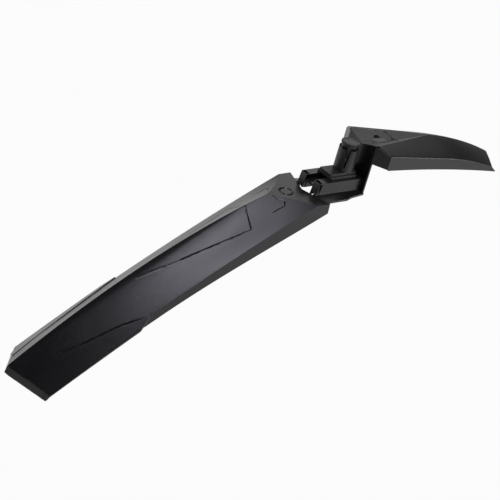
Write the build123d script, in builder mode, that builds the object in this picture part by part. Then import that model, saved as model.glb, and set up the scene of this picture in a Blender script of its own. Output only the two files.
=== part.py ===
import math
import os

from build123d import *

os.makedirs("parts", exist_ok=True)

# Frame: the plug stands on +Z, Z = 0 is the seat under the steerer, +X points to the front blade.

wall_t = 2.5             # thickness of the moulding
floor_z = -20.0          # top of the bracket floor and of the landing behind it
rail_z = -6.0            # top of the two rails
rail_out = 16.8          # outer face of a rail, from the centre plane
rail_in = 6.5            # inner face of a rail: half the channel
web_z = -11.5            # channel floor
rail_rear_x = -46.0      # rear end of the rails
floor_half = 27.5        # half width of the bracket floor
floor_step = 2.4         # it is narrower by this much beside the plug
floor_fall = 0.34        # outside the rails the floor falls by this much per millimetre
landing_gap = 8.5        # open space between the landing and the rails
neck_x = -34.0           # the floor reaches its own width here
head_x = -43.0           # front end of the rear blade's sides

wall_x = 18.0            # rear face of the upright wall
wall_half = 22.5         # half width of the wall

ridge_x = -105.0         # the rear ridge leaves the landing here
ridge_slope = 0.35       # its fall per millimetre there
ridge_r = 654.0          # bow of the ridge
rear_tip_x = -384.6      # lower end of the ridge
rear_corner_x = -357.0   # lower end of the side plates
rear_half = 36.0         # half width of the roof
roof_drop = 35.0         # ridge to side edge where the roof is steepest
roof_steep_x = -270.0    # that place
roof_r = 1053.0          # the roof flattens away from it
skirt_low = 9.3          # side height ahead of the side plates
skirt_rise = 10.4        # it gains this much towards the bracket
skirt_end = 3.0          # side height at the lower end
skirt_flare = 1.2        # the side leans out by this much at its foot
lip_len = 8.0            # turned-down lip on the lower end
kink_x = -256.0          # the side plates start here
plate_out = 5.0          # they stand out this far past the sides
plate_top = 29.0         # half width between their inner edges at the kink
plate_low = 20.0         # and at the lower end
plate_lag = 12.0         # the inner edge of a plate runs this far behind its outer edge
plate_ramp = 11.0        # length over which a plate rises out of the side
plate_lift = 1.6         # side plate above the roof at the kink
plate_lift_low = 0.15    # and at the lower end
spine_x = -131.0         # front end of the sunk spine panel
spine_half = 23.0        # its half width
spine_tip_x = -292.0     # its pointed lower end
sink = 0.8               # depth of sunk panels and grooves

apex_x = 127.6           # the front top panel ends here and the front ridge begins
apex_z = 31.6
front_deg = 8.7          # slope of the front ridge at the apex
front_r = 538.0          # bow of the front ridge
front_tip_x = 249.5      # front end of the ridge
front_corner_x = 223.5   # front end of the side edge
front_half = 38.8        # half width of the front blade at its rear
front_taper = 4.0        # it is narrower by this much at the front
front_drop = 15.6        # ridge to side edge at the rear of the front blade
front_drop_tip = 11.6    # and at its front end
front_skirt_z = 15.2     # lower edge of the front blade's side, at the wall
front_skirt_fall = 0.085 # fall of that edge per millimetre there
front_skirt_r = 2780.0   # and its bow
front_sweep = 10.0       # the rear corners of the front blade lie this far ahead of the wall
panel_rim = 1.6          # the roof reaches out past the wall's top corners
valley_dip = 8.0         # the front top panel is folded into a valley, this deep at the wall

disc_x = -77.4           # ring on the landing
disc_d = 17.0
groove_w = 1.2
pit_x = 28.2             # round flat let into the valley, from the wall
pit_d = 15.5
pit_h = 0.2              # it lies this far below the valley's line
notch_x = 49.4           # point of the groove across the valley, from the wall
notch_sweep = 4.7        # its ends lie this far behind its point
notch_half = 12.5

plug_d = 23.4            # outside of the split sleeve
plug_h = 27.0            # its height
slot_w = 1.8             # the slots that split it, at their lower end
slot_top_w = 6.0         # and at the top
slot_floor = 5.0         # they stop this far above the seat
cone_low_z = 15.0        # lower end of the cone nut
cone_slope = 0.22        # radius it gains per millimetre of height
cone_wall = 1.6          # at its rim the cone is smaller than the sleeve by this much
rim_gap = 4.4            # open space between sleeve and rim
rim_h = 2.8
rim_under = 1.0          # the rim is smaller than the sleeve, so that it enters the tube
rim_teeth = 24
tooth_d = 1.1
seat_h = 8.0             # height over which cone and sleeve touch
bolt_d = 6.0
hole_gap = 0.3           # all round the bolt in the plain holes
bolt_head_d = 10.0
bolt_head_h = 6.0
hex_af = 5.0             # hex socket across flats
washer_d = 12.0
washer_t = 1.6
base_rear_x = -27.0      # plug base
base_front_x = 12.0
base_half = 10.0         # half width of its upper step
base_flange = 2.3        # the lower step stands out by this much
base_step = 3.0          # height of the upper step
side_gap = 0.2           # base tongue to the channel's walls and floor


def ridge(x):
    q = ridge_x - x
    return floor_z - ridge_slope * q - q * q / (2 * ridge_r)


def rear_drop(x):
    return roof_drop - (x - roof_steep_x) ** 2 / (2 * roof_r)


def rear_skirt(x):
    if x < kink_x:
        return skirt_end + (skirt_low - skirt_end) * max(0, 1 - (kink_x - x) / plate_len / 0.6) ** 2
    v = (x - kink_x) / (head_x - kink_x)
    return skirt_low + skirt_rise * v * v * (3 - 2 * v)


def roof_point(x, half, lift=0.0):
    return Vector(x, half, ridge(x) - rear_drop(x) * half / rear_half + lift)


def front_ridge(x):
    if x < apex_x:
        return apex_z - (x - apex_x) * math.tan(math.radians(front_deg))
    sa = math.sin(math.radians(front_deg)) + (x - apex_x) / front_r
    return apex_z - front_r * (math.cos(math.radians(front_deg)) - math.sqrt(1 - sa * sa))


def front_edge(x):
    v = (x - wall_x) / (front_corner_x - wall_x)
    drop = front_drop + (front_drop_tip - front_drop) * v
    return Vector(x, front_half - front_taper * v * (2 - v), front_ridge(x) - drop)


def front_foot(x):
    d = x - wall_x
    z = front_skirt_z - front_skirt_fall * d - d * d / (2 * front_skirt_r)
    return Vector(x, front_edge(x).Y + skirt_flare / 2, z)


def landing_half(x):
    # Half width of the flat that the floor plane cuts off the rear roof.
    return min(rear_half * (ridge(x) - floor_z) / rear_drop(x), rear_half)


def end_x(half):
    # The lower end of the rear blade runs straight from its tip to the corners of the side plates.
    return rear_tip_x + (rear_corner_x - rear_tip_x) * half / (rear_half + plate_out)


def between(a, b, *parts):
    return [a + (b - a) * k for k in parts]


def cone_r(z):
    return plug_d / 2 - cone_wall - cone_slope * (rim_z - z)


def folded(top, edge, foot, t, to_centre=True):
    # A strip of thickness t folded at edge: its outer line is top, edge, foot.
    along = edge - top
    down = foot - edge
    normal = along.cross(down).normalized()
    in1 = normal.cross(along).normalized() * t
    in2 = normal.cross(down).normalized() * t
    k = (in2 - in1).dot(in2) / along.dot(in2)
    inner_edge = edge + in1 + along * k
    shift = -in1.Y / along.Y if to_centre else 0.0
    return Face(Wire.make_polygon([top, edge, foot, foot + in2, inner_edge, top + in1 + along * shift], close=True))


def swept(x):
    # Side position that belongs to a ridge position: the lower end is swept back at the sides.
    v = max((kink_x - x) / (kink_x - rear_tip_x), 0)
    return x + (end_x(rear_half) - rear_tip_x) * v * v


def rear_station(x):
    side = swept(x)
    edge = roof_point(side, rear_half)
    return folded(roof_point(x, 0), edge, edge + Vector(0, skirt_flare, -rear_skirt(side)), wall_t)


def plate_station(x, half, side, out):
    v = (kink_x - side) / (kink_x - rear_corner_x)
    lift = plate_lift + (plate_lift_low - plate_lift) * v
    edge = roof_point(side, rear_half + out, lift)
    foot = edge + Vector(0, 0.4, -skirt_end - lift)
    return folded(roof_point(x, half, lift), edge, foot, lift + 1.2, to_centre=False)


def plate_at(v):
    side = kink_x - plate_len * v
    return plate_station(side - plate_lag, plate_top + (plate_low - plate_top) * v, side, plate_out)


def front_station(x):
    v = max((x - apex_x) / (front_tip_x - apex_x), 0)
    side = x - (front_tip_x - front_corner_x) * v * v
    return folded(Vector(x, 0, front_ridge(x)), front_edge(side), front_foot(side + 10 * v), wall_t)


def spine_station(x, half):
    low = Vector(0, 0, -sink)
    high = Vector(0, 0, 6)
    a = roof_point(x, 0)
    b = roof_point(x, half)
    return Face(Wire.make_polygon([a + low, b + low, b + high, a + high], close=True))


plate_len = kink_x - rear_corner_x
rim_z = plug_h + rim_gap
rim_d = plug_d - 2 * rim_under
wall_top_z = front_ridge(wall_x) - front_drop * (wall_half + panel_rim) / front_half
valley_z = wall_top_z - valley_dip
valley_rise = (apex_z - valley_z) / (apex_x - wall_x)
panel_slope = valley_dip / (wall_half + panel_rim)
facet = Plane(origin=(wall_x, 0, valley_z), x_dir=(1, 0, valley_rise), z_dir=(-valley_rise, -panel_slope, 1))


def panel_point(ahead, y, lift=0):
    # Point on the left face of the valley, measured from the wall.
    return Vector(wall_x + ahead, y, valley_z + valley_rise * ahead + panel_slope * y + lift)


plate_end = plate_station(end_x(plate_low), plate_low, rear_corner_x, plate_out)
lip_dir = (-0.334, 0, -0.942)
landing_sweep = (head_x - rail_rear_x + landing_gap) / (rear_half - 0.5)
landing_end = [(rail_rear_x - landing_gap + landing_sweep * y, y) for y in (rail_out - wall_t, rear_half - 0.5)]
floor_edge = [
    (neck_x, floor_half),
    (base_rear_x * 0.3, floor_half),
    (1, floor_half - floor_step),
    (wall_x + wall_t, wall_half + 0.8),
    (wall_x + wall_t, rail_out - wall_t),
]
floor_drop = floor_fall * (rear_half - rail_out)
landing = [(x, landing_half(x) - 0.5) for x in between(ridge_x, head_x, 0.1, 0.25, 0.4, 0.55, 0.7, 0.8, 1)]
rail_profile = [
    (rail_out, floor_z - wall_t),
    (rail_out, rail_z),
    (rail_in, rail_z),
    (rail_in, web_z),
    (-1, web_z),
    (-1, web_z - wall_t),
    (rail_in, web_z - wall_t),
    (rail_in, floor_z - wall_t),
    (rail_in + wall_t, floor_z - wall_t),
    (rail_in + wall_t, rail_z - wall_t),
    (rail_out - wall_t, rail_z - wall_t),
    (rail_out - wall_t, floor_z - wall_t),
]

with BuildPart() as mudguard_body:
    # Rear blade, one half: folded shell, lip and side plate.
    upper = between(head_x, kink_x, 0, 0.15, 0.3, 0.5, 0.74)
    lower = between(kink_x, rear_tip_x, 0, 0.34, 0.69, 1)
    loft([rear_station(x) for x in upper + lower])
    rise = plate_ramp / plate_len
    ramp_foot = plate_station(kink_x - plate_lag, plate_top, kink_x + plate_ramp * 0.3, 0.1 * plate_out)
    loft([ramp_foot, plate_at(rise * 0.7)], ruled=True)
    loft([plate_at(rise * 0.7), plate_at(0.4), plate_at(0.7), plate_end])
    tip = roof_point(rear_tip_x, 0, plate_lift_low)
    corner = roof_point(rear_corner_x, rear_half + plate_out, plate_lift_low)
    under = Vector(0, 0, -wall_t)
    extrude(
        Face(Wire.make_polygon([tip, corner, corner + under, tip + under], close=True)),
        amount=lip_len,
        dir=lip_dir,
    )
    # The roof is cut flat at the landing, and a long panel is sunk along its ridge.
    with Locations((ridge_x - 15, 0, floor_z)):
        Box(
            head_x - ridge_x + 30, 4 * rear_half, 40,
            align=(Align.MIN, Align.CENTER, Align.MIN), mode=Mode.SUBTRACT,
        )
    loft([
        spine_station(spine_x - 4 - (spine_x - 4 - spine_tip_x) * k, 0.4 + (spine_half - 0.4) * (1 - k))
        for k in (0, 0.3, 0.65, 1)
    ], mode=Mode.SUBTRACT)
    # Front blade, one half.
    rear_part = between(wall_x - 4, apex_x, 0, 0.55, 1)
    fore_part = between(apex_x, front_tip_x, 0.35, 0.68, 1)
    loft([front_station(x) for x in rear_part + fore_part])
    with BuildSketch(Plane.XY.offset(-10)) as behind:
        with BuildLine():
            Polyline(
                (0, -5),
                (wall_x, -5),
                (wall_x, wall_half),
                (wall_x + 0.8 * front_sweep, front_half - 0.2 * (front_half - wall_half)),
                (wall_x + 1.2 * front_sweep, front_half),
                (wall_x + 1.2 * front_sweep, 60),
                (0, 60),
                close=True,
            )
        make_face()
    extrude(amount=80, mode=Mode.SUBTRACT)
    with Locations(facet):
        Box(
            2 * (apex_x - wall_x), 4 * front_half, 30,
            align=(Align.CENTER, Align.CENTER, Align.MIN), mode=Mode.SUBTRACT,
        )
    # Web that closes the front blade's rear corner.
    sweep_dir = Vector(front_sweep, front_half - wall_half, 0)
    web_top = panel_point(0, wall_half, -0.3)
    web_out = web_top + sweep_dir
    web_low = front_foot(wall_x).Z
    extrude(
        Face(Wire.make_polygon([
            web_top,
            Vector(web_out.X, web_out.Y, front_edge(web_out.X).Z - 0.3),
            Vector(web_out.X, web_out.Y, web_low),
            Vector(web_top.X, web_top.Y, web_low),
        ], close=True)),
        amount=wall_t,
        dir=(1, 0, 0),
    )
    # Half of the bracket: landing, step down to the falling floor, floor, rail and wall.
    with BuildSketch(Plane.XY.offset(floor_z - wall_t)):
        with BuildLine():
            Polyline([(ridge_x + 1.5, 0)] + landing + [(rail_rear_x - landing_gap, 0)], close=True)
        make_face()
    extrude(amount=wall_t)
    with BuildSketch(Plane.XY.offset(floor_z)):
        with BuildLine():
            Polyline(landing_end + [(x - wall_t, y) for x, y in reversed(landing_end)], close=True)
        make_face()
    extrude(amount=-wall_t - floor_drop)
    floor_block = extrude(
        Face(Wire.make_polygon([Vector(x, y, floor_z - 20) for x, y in landing_end + floor_edge], close=True)),
        amount=40,
        dir=(0, 0, 1),
        mode=Mode.PRIVATE,
    )
    floor_slab = extrude(
        Face(Wire.make_polygon([
            Vector(ridge_x, rail_out - 2 * wall_t, floor_z),
            Vector(ridge_x, rail_out, floor_z),
            Vector(ridge_x, rear_half, floor_z - floor_drop),
            Vector(ridge_x, rear_half, floor_z - floor_drop - wall_t),
            Vector(ridge_x, rail_out, floor_z - wall_t),
            Vector(ridge_x, rail_out - 2 * wall_t, floor_z - wall_t),
        ], close=True)),
        amount=wall_x - ridge_x + 2 * wall_t,
        dir=(1, 0, 0),
        mode=Mode.PRIVATE,
    )
    add(floor_slab & floor_block)
    with BuildSketch(Plane.YZ.offset(rail_rear_x)):
        with BuildLine():
            Polyline(rail_profile, close=True)
        make_face()
    extrude(amount=wall_x - rail_rear_x)
    with BuildSketch(Plane.YZ.offset(rail_rear_x)):
        with Locations(((rail_in + rail_out) / 2, (rail_z + floor_z - wall_t) / 2)):
            Rectangle(rail_out - rail_in, rail_z - floor_z + wall_t)
    extrude(amount=wall_t)
    with BuildSketch(Plane.YZ.offset(wall_x)):
        with BuildLine():
            Polyline(
                (0, floor_z - wall_t),
                (rail_out, floor_z - wall_t),
                (wall_half, floor_z - wall_t - floor_fall * (wall_half - rail_out)),
                (wall_half, panel_point(0, wall_half).Z),
                (0, valley_z),
                close=True,
            )
        make_face()
    extrude(amount=wall_t)
    # Top panel: one face of the valley, with a thick spot under the round flat, and the groove across it.
    panel_end = apex_x - wall_x - 0.6 * front_sweep
    panel_edge = [panel_point(0, wall_half), panel_point(0.3 * front_sweep, wall_half)]
    extrude(
        Face(Wire.make_polygon([panel_point(0, 0)] + panel_edge + [panel_point(panel_end, 0)], close=True)),
        amount=wall_t,
        dir=(0, 0, -1),
    )
    boss_r = pit_d / 2 + wall_t
    turns = [math.pi * k / 16 for k in range(17)]
    extrude(
        Face(Wire.make_polygon(
            [panel_point(pit_x + boss_r * math.cos(t), boss_r * math.sin(t)) for t in turns], close=True,
        )),
        amount=panel_slope * pit_d / 2 + wall_t,
        dir=(0, 0, -1),
    )
    with BuildSketch(Plane.XY.offset(panel_point(pit_x, 0, -pit_h).Z)):
        with Locations((wall_x + pit_x, 0)):
            Circle(pit_d / 2)
    extrude(amount=10, mode=Mode.SUBTRACT)
    half_w = groove_w / 2
    extrude(
        Face(Wire.make_polygon([
            panel_point(notch_x - half_w, 0, 1),
            panel_point(notch_x + half_w, 0, 1),
            panel_point(notch_x - notch_sweep + half_w, notch_half, 1),
            panel_point(notch_x - notch_sweep - half_w, notch_half, 1),
        ], close=True)),
        amount=1 + sink,
        dir=(0, 0, -1),
        mode=Mode.SUBTRACT,
    )
    mirror(about=Plane.XZ)
    with Locations((0, 0, web_z)):
        Hole(bolt_d / 2 + hole_gap, depth=2 * wall_t)
    # Ring on the landing.
    with BuildSketch(Plane.XY.offset(floor_z)):
        with Locations((disc_x, 0)):
            Circle(disc_d / 2)
            Circle(disc_d / 2 - groove_w, mode=Mode.SUBTRACT)
    extrude(amount=-sink, mode=Mode.SUBTRACT)
mudguard_body.part.label = "mudguard_body"
export_step(mudguard_body.part, "parts/mudguard_body.step")

# Stepped block that rests on both rails; its tongue keeps it straight in the channel.
with BuildPart() as plug_base:
    base_len = base_front_x - base_rear_x
    with Locations(((base_front_x + base_rear_x) / 2, 0, rail_z)):
        Box(
            base_len, 2 * (base_half + base_flange), -rail_z - base_step,
            align=(Align.CENTER, Align.CENTER, Align.MIN),
        )
    with Locations(((base_front_x + base_rear_x) / 2, 0, -base_step)):
        Box(base_len, 2 * base_half, base_step, align=(Align.CENTER, Align.CENTER, Align.MIN))
    chamfer(plug_base.edges().filter_by(Axis.Z), 1.0)
    with Locations(((base_front_x + base_rear_x) / 2, 0, rail_z)):
        Box(
            base_len - 6, 2 * (rail_in - side_gap), rail_z - web_z - side_gap,
            align=(Align.CENTER, Align.CENTER, Align.MAX),
        )
    Hole(bolt_d / 2 + hole_gap)
plug_base.part.label = "plug_base"
export_step(plug_base.part, "parts/plug_base.step")

# Split sleeve that spreads inside the steerer tube.
with BuildPart() as expander_sleeve:
    with BuildSketch(Plane.XZ):
        with BuildLine():
            Polyline(
                (bolt_d / 2 + 1.2, 0),
                (plug_d / 2, 0),
                (plug_d / 2, plug_h),
                (plug_d / 2 - 1, plug_h),
                (cone_r(cone_low_z + seat_h), cone_low_z + seat_h),
                (cone_r(cone_low_z - 1), cone_low_z - 1),
                (bolt_d / 2 + 1.2, cone_low_z - 3),
                close=True,
            )
        make_face()
    revolve(axis=Axis.Z)
    for turn in (45, 135, 225, 315):
        out = Vector(1, 0, 0).rotate(Axis.Z, turn)
        with BuildSketch(Plane(origin=(0, 0, 0), x_dir=out.cross(Vector(0, 0, -1)), z_dir=out)):
            with BuildLine():
                Polyline(
                    (-slot_w / 2, slot_floor),
                    (slot_w / 2, slot_floor),
                    (slot_top_w / 2, plug_h + 1),
                    (-slot_top_w / 2, plug_h + 1),
                    close=True,
                )
            make_face()
        extrude(amount=plug_d, mode=Mode.SUBTRACT)
expander_sleeve.part.label = "expander_sleeve"
export_step(expander_sleeve.part, "parts/expander_sleeve.step")

# Cone with a toothed rim, drawn down into the sleeve by the bolt.
with BuildPart() as cone_nut:
    with BuildSketch(Plane.XZ):
        with BuildLine():
            Polyline(
                (bolt_d / 2, cone_low_z),
                (cone_r(cone_low_z), cone_low_z),
                (cone_r(rim_z), rim_z),
                (rim_d / 2 - 0.4, rim_z),
                (rim_d / 2, rim_z + 0.4),
                (rim_d / 2, rim_z + rim_h - 0.6),
                (rim_d / 2 - 0.6, rim_z + rim_h),
                (rim_d / 2 - 2.2, rim_z + rim_h),
                (rim_d / 2 - 2.6, rim_z + rim_h - 0.5),
                (0, rim_z + rim_h - 0.5),
                (0, rim_z),
                (bolt_d / 2, rim_z),
                close=True,
            )
        make_face()
    revolve(axis=Axis.Z)
    with Locations((0, 0, rim_z)):
        with PolarLocations(rim_d / 2 + tooth_d / 4, rim_teeth):
            Cylinder(
                tooth_d / 2, rim_h,
                align=(Align.CENTER, Align.CENTER, Align.MIN), mode=Mode.SUBTRACT,
            )
cone_nut.part.label = "cone_nut"
export_step(cone_nut.part, "parts/cone_nut.step")

# Washer under the channel floor.
with BuildPart() as washer:
    with BuildSketch(Plane.XY.offset(web_z - wall_t)):
        Circle(washer_d / 2)
        Circle(bolt_d / 2 + hole_gap, mode=Mode.SUBTRACT)
    extrude(amount=-washer_t)
washer.part.label = "washer"
export_step(washer.part, "parts/washer.step")

# Socket-head bolt, put in from below.
with BuildPart() as clamp_bolt:
    head_top_z = web_z - wall_t - washer_t
    with BuildSketch(Plane.XY.offset(head_top_z)):
        Circle(bolt_head_d / 2)
    extrude(amount=-bolt_head_h)
    chamfer(clamp_bolt.edges().group_by(Axis.Z)[0], 0.5)
    with BuildSketch(Plane.XY.offset(head_top_z)):
        Circle(bolt_d / 2)
    extrude(amount=rim_z - 1 - head_top_z)
    chamfer(clamp_bolt.edges().group_by(Axis.Z)[-1], 0.6)
    with BuildSketch(Plane.XY.offset(head_top_z - bolt_head_h)):
        RegularPolygon(hex_af / 2, 6, major_radius=False)
    extrude(amount=0.6 * bolt_head_h, mode=Mode.SUBTRACT)
clamp_bolt.part.label = "clamp_bolt"
export_step(clamp_bolt.part, "parts/clamp_bolt.step")
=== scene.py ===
import math

import bmesh
import bpy
from mathutils import Matrix, Vector


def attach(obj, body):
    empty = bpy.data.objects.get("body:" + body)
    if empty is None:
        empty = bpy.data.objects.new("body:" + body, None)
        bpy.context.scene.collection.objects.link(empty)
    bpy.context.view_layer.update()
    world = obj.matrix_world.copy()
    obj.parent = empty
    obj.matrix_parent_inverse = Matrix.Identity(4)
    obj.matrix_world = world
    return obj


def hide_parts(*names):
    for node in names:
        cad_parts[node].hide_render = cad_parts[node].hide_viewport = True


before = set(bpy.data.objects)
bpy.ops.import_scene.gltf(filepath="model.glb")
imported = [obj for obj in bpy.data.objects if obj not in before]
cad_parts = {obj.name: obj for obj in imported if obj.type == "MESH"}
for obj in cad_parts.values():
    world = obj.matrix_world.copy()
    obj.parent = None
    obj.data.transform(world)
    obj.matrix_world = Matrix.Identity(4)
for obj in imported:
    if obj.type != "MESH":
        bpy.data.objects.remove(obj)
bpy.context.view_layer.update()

mm = 0.001
print("frame loaded:", sorted(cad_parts))


class Wire:  # one output of a node; maths on it adds nodes
    def __init__(self, tree, node, out):
        self.tree, self.node, self.socket = tree, node, node.outputs[out]

    def out(self, name):
        return Wire(self.tree, self.node, name)

    def make(self, kind, settings=None, sockets=None, out=0):
        return makeNode(self.tree, kind, settings, sockets, out)

    def calc(self, operation, *values):
        return self.make("ShaderNodeMath", {"operation": operation}, dict(enumerate(values)))

    def __add__(self, other):
        return self.calc("ADD", self, other)

    def __radd__(self, other):
        return self.calc("ADD", other, self)

    def __sub__(self, other):
        return self.calc("SUBTRACT", self, other)

    def __rsub__(self, other):
        return self.calc("SUBTRACT", other, self)

    def __mul__(self, other):
        return self.calc("MULTIPLY", self, other)

    def __rmul__(self, other):
        return self.calc("MULTIPLY", other, self)

    def __truediv__(self, other):
        return self.calc("DIVIDE", self, other)

    def __pow__(self, other):
        return self.calc("POWER", self, other)

    def low(self, other):
        return self.calc("MINIMUM", self, other)

    def high(self, other):
        return self.calc("MAXIMUM", self, other)

    def fade(self, start, end):  # 0 at start, 1 at end, soft between
        span = {"Value": self, "From Min": start, "From Max": end}
        return self.make("ShaderNodeMapRange", {"interpolation_type": "SMOOTHSTEP"}, span)


def makeNode(tree, kind, settings=None, sockets=None, out=0):
    node = tree.nodes.new(kind)
    for key, value in (settings or {}).items():
        setattr(node, key, value)
    for key, value in (sockets or {}).items():
        if isinstance(value, Wire):
            tree.links.new(value.socket, node.inputs[key])
        else:
            node.inputs[key].default_value = value
    return Wire(tree, node, out)


# finishes

def newFinish(name):
    finish = bpy.data.materials.new(name)
    finish.use_nodes = True
    finish.node_tree.nodes.clear()
    return finish, finish.node_tree


def closeFinish(tree, shader):
    last = tree.nodes.new("ShaderNodeOutputMaterial")
    tree.links.new(shader.socket, last.inputs["Surface"])


def noise(tree, place, scale, detail=2.0, rough=0.5):
    sockets = {"Vector": place, "Scale": scale, "Detail": detail, "Roughness": rough}
    return makeNode(tree, "ShaderNodeTexNoise", None, sockets, "Fac")


def stretched(tree, place, scale):
    return makeNode(tree, "ShaderNodeMapping", None, {"Vector": place, "Scale": scale})


def blendColour(tree, factor, a, b):
    return makeNode(tree, "ShaderNodeMix", {"data_type": "RGBA"}, {0: factor, 6: a, 7: b}, 2)


def relief(tree, look, height):
    sockets = {"Strength": look["bump"], "Distance": look["relief"], "Height": height}
    return makeNode(tree, "ShaderNodeBump", None, sockets)


def mouldedPlastic(name, look):
    finish, tree = newFinish(name)
    place = makeNode(tree, "ShaderNodeTexCoord", None, None, "Object")
    cloud = noise(tree, place, look["cloudScale"], 3.0, 0.6)
    grain = noise(tree, place, look["grainScale"])
    flow = noise(tree, stretched(tree, place, look["flowStretch"]), look["flowScale"])
    colour = blendColour(tree, cloud.fade(*look["cloudEdge"]), look["dark"], look["light"])
    if "topZ" in look:  # darker below this height
        high = makeNode(tree, "ShaderNodeSeparateXYZ", None, {0: place}, "Z")
        colour = blendColour(tree, high.fade(look["topZ"] - look["blend"], look["topZ"]), look["below"], colour)
    gloss = look["rough"] + (cloud - 0.5) * look["roughSpread"] + (grain - 0.5) * look["grainSpread"]
    bump = relief(tree, look, grain * look["grainDepth"] + flow * look["flowDepth"])
    shader = makeNode(tree, "ShaderNodeBsdfPrincipled", None, {
        "Base Color": colour, "Roughness": gloss, "Normal": bump, "IOR": look["ior"],
    })
    closeFinish(tree, shader)
    return finish


blackLook = {
    "dark": (0.0045, 0.0045, 0.0048, 1), "light": (0.0075, 0.0075, 0.008, 1),
    "cloudScale": 14.0, "cloudEdge": (0.3, 0.7), "grainScale": 1800.0, "grainDepth": 0.35, "grainSpread": 0.12,
    "flowScale": 60.0, "flowStretch": (0.25, 1, 1), "flowDepth": 0.2,
    "rough": 0.30, "roughSpread": 0.08, "bump": 0.25, "relief": 0.0004, "ior": 1.5,
}
plugLook = dict(blackLook, dark=(0.014, 0.014, 0.015, 1), light=(0.022, 0.022, 0.023, 1), rough=0.42)
capLook = dict(blackLook, dark=(0.03, 0.03, 0.03, 1), light=(0.045, 0.045, 0.045, 1), rough=0.42,
               topZ=0.0314, blend=0.0005, below=(0.008, 0.008, 0.008, 1))
blackPlastic = mouldedPlastic("blackPlastic", blackLook)
plugPlastic = mouldedPlastic("plugPlastic", plugLook)
capPlastic = mouldedPlastic("capPlastic", capLook)

zincLook = {
    "dark": (0.52, 0.52, 0.50, 1), "light": (0.66, 0.66, 0.64, 1), "spangleScale": 500.0, "spangleEdge": (0.35, 0.65),
    "lineScale": 120.0, "lineStretch": (1, 1, 40), "rough": 0.28, "roughSpread": 0.2, "bump": 0.15, "relief": 0.0002,
}


def zincSteel(look):
    finish, tree = newFinish("zincSteel")
    place = makeNode(tree, "ShaderNodeTexCoord", None, None, "Object")
    spangle = noise(tree, place, look["spangleScale"], 3.0, 0.6)
    lines = noise(tree, stretched(tree, place, look["lineStretch"]), look["lineScale"])
    colour = blendColour(tree, spangle.fade(*look["spangleEdge"]), look["dark"], look["light"])
    shader = makeNode(tree, "ShaderNodeBsdfPrincipled", None, {
        "Base Color": colour, "Metallic": 1.0, "Roughness": look["rough"] + lines * look["roughSpread"],
        "Normal": relief(tree, look, lines),
    })
    closeFinish(tree, shader)
    return finish


zincPlate = zincSteel(zincLook)
print("finishes made")


# mesh helpers, sizes in millimetres until a piece is made

def meshObject(name, bm):
    mesh = bpy.data.meshes.new(name)
    bm.to_mesh(mesh)
    bm.free()
    piece = bpy.data.objects.new(name, mesh)
    bpy.context.scene.collection.objects.link(piece)
    return piece


def plainMesh(piece):  # modifiers become part of the mesh
    bpy.context.view_layer.update()
    seen = piece.evaluated_get(bpy.context.evaluated_depsgraph_get())
    mesh = bpy.data.meshes.new_from_object(seen)
    piece.modifiers.clear()
    old = piece.data
    piece.data = mesh
    bpy.data.meshes.remove(old)
    return piece


def addTo(bm, other):  # the other mesh becomes part of this one
    spare = bpy.data.meshes.new("spare")
    other.to_mesh(spare)
    other.free()
    bm.from_mesh(spare)
    bpy.data.meshes.remove(spare)


def flipped(bm):  # a copy on the other side of the middle
    twin = bm.copy()
    for vert in twin.verts:
        vert.co.y = -vert.co.y
    bmesh.ops.reverse_faces(twin, faces=twin.faces[:])
    return twin


def mirrorHalf(bm):  # half a skin gets its other half
    twin = bmesh.ops.duplicate(bm, geom=bm.verts[:] + bm.edges[:] + bm.faces[:])["geom"]
    for part in twin:
        if isinstance(part, bmesh.types.BMVert):
            part.co.y = -part.co.y
    bmesh.ops.reverse_faces(bm, faces=[f for f in twin if isinstance(f, bmesh.types.BMFace)])
    bmesh.ops.remove_doubles(bm, verts=bm.verts[:], dist=0.01)
    bmesh.ops.dissolve_degenerate(bm, edges=bm.edges[:], dist=0.005)
    bm.normal_update()


def faceUp(bm):
    bm.normal_update()
    if sum(f.normal.z * f.calc_area() for f in bm.faces) < 0:
        bmesh.ops.reverse_faces(bm, faces=bm.faces[:])


def cutBy(bm, point, normal, clear=False, faces=None):  # all faces or the given ones
    geom = bm.verts[:] + bm.edges[:] + bm.faces[:]
    if faces is not None:  # each corner and edge once, in the order of the faces
        corners = dict.fromkeys(v for f in faces for v in f.verts)
        sides = dict.fromkeys(e for f in faces for e in f.edges)
        geom = [*corners, *sides, *faces]
    bmesh.ops.bisect_plane(bm, geom=geom, dist=0.001, plane_co=point, plane_no=normal, clear_outer=clear)


def sharpEdges(bm, degrees, test=None, least=0.0):
    limit = math.radians(degrees)
    return [e for e in bm.edges if len(e.link_faces) == 2 and e.calc_face_angle(0) > limit
            and e.calc_length() >= least and (test is None or test(e))]


def roundEdges(bm, edges, size, segments=3):
    bmesh.ops.bevel(bm, geom=edges, offset=size, segments=segments, profile=0.5,
                    affect="EDGES", clamp_overlap=True)
    bm.normal_update()


def shellFrom(name, bm, wall, rim):  # open skin, facing out, becomes a wall with a rounded rim
    faceUp(bm)
    piece = meshObject(name, bm)
    for slot in range(2):  # skin and rim, told apart by their slots
        piece.data.materials.append(blackPlastic)
    skin = [(v.co.copy(), v.normal.copy()) for v in piece.data.vertices]
    thick = piece.modifiers.new("wall", "SOLIDIFY")
    thick.thickness, thick.offset = wall, -1
    thick.use_even_offset, thick.use_quality_normals, thick.material_offset_rim = True, True, 1
    plainMesh(piece)
    for k, vert in enumerate(piece.data.vertices):
        there, facing = skin[k % len(skin)]
        if (vert.co - there).length > 2 * wall:  # a cramped corner
            vert.co = there - facing * wall
    bm = bmesh.new()
    bm.from_mesh(piece.data)
    edges = [e for e in bm.edges if len(e.link_faces) == 2
             and e.link_faces[0].material_index != e.link_faces[1].material_index]
    roundEdges(bm, edges, rim, 2)
    for face in bm.faces:
        face.material_index = 0
    bm.to_mesh(piece.data)
    bm.free()
    return piece


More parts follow.
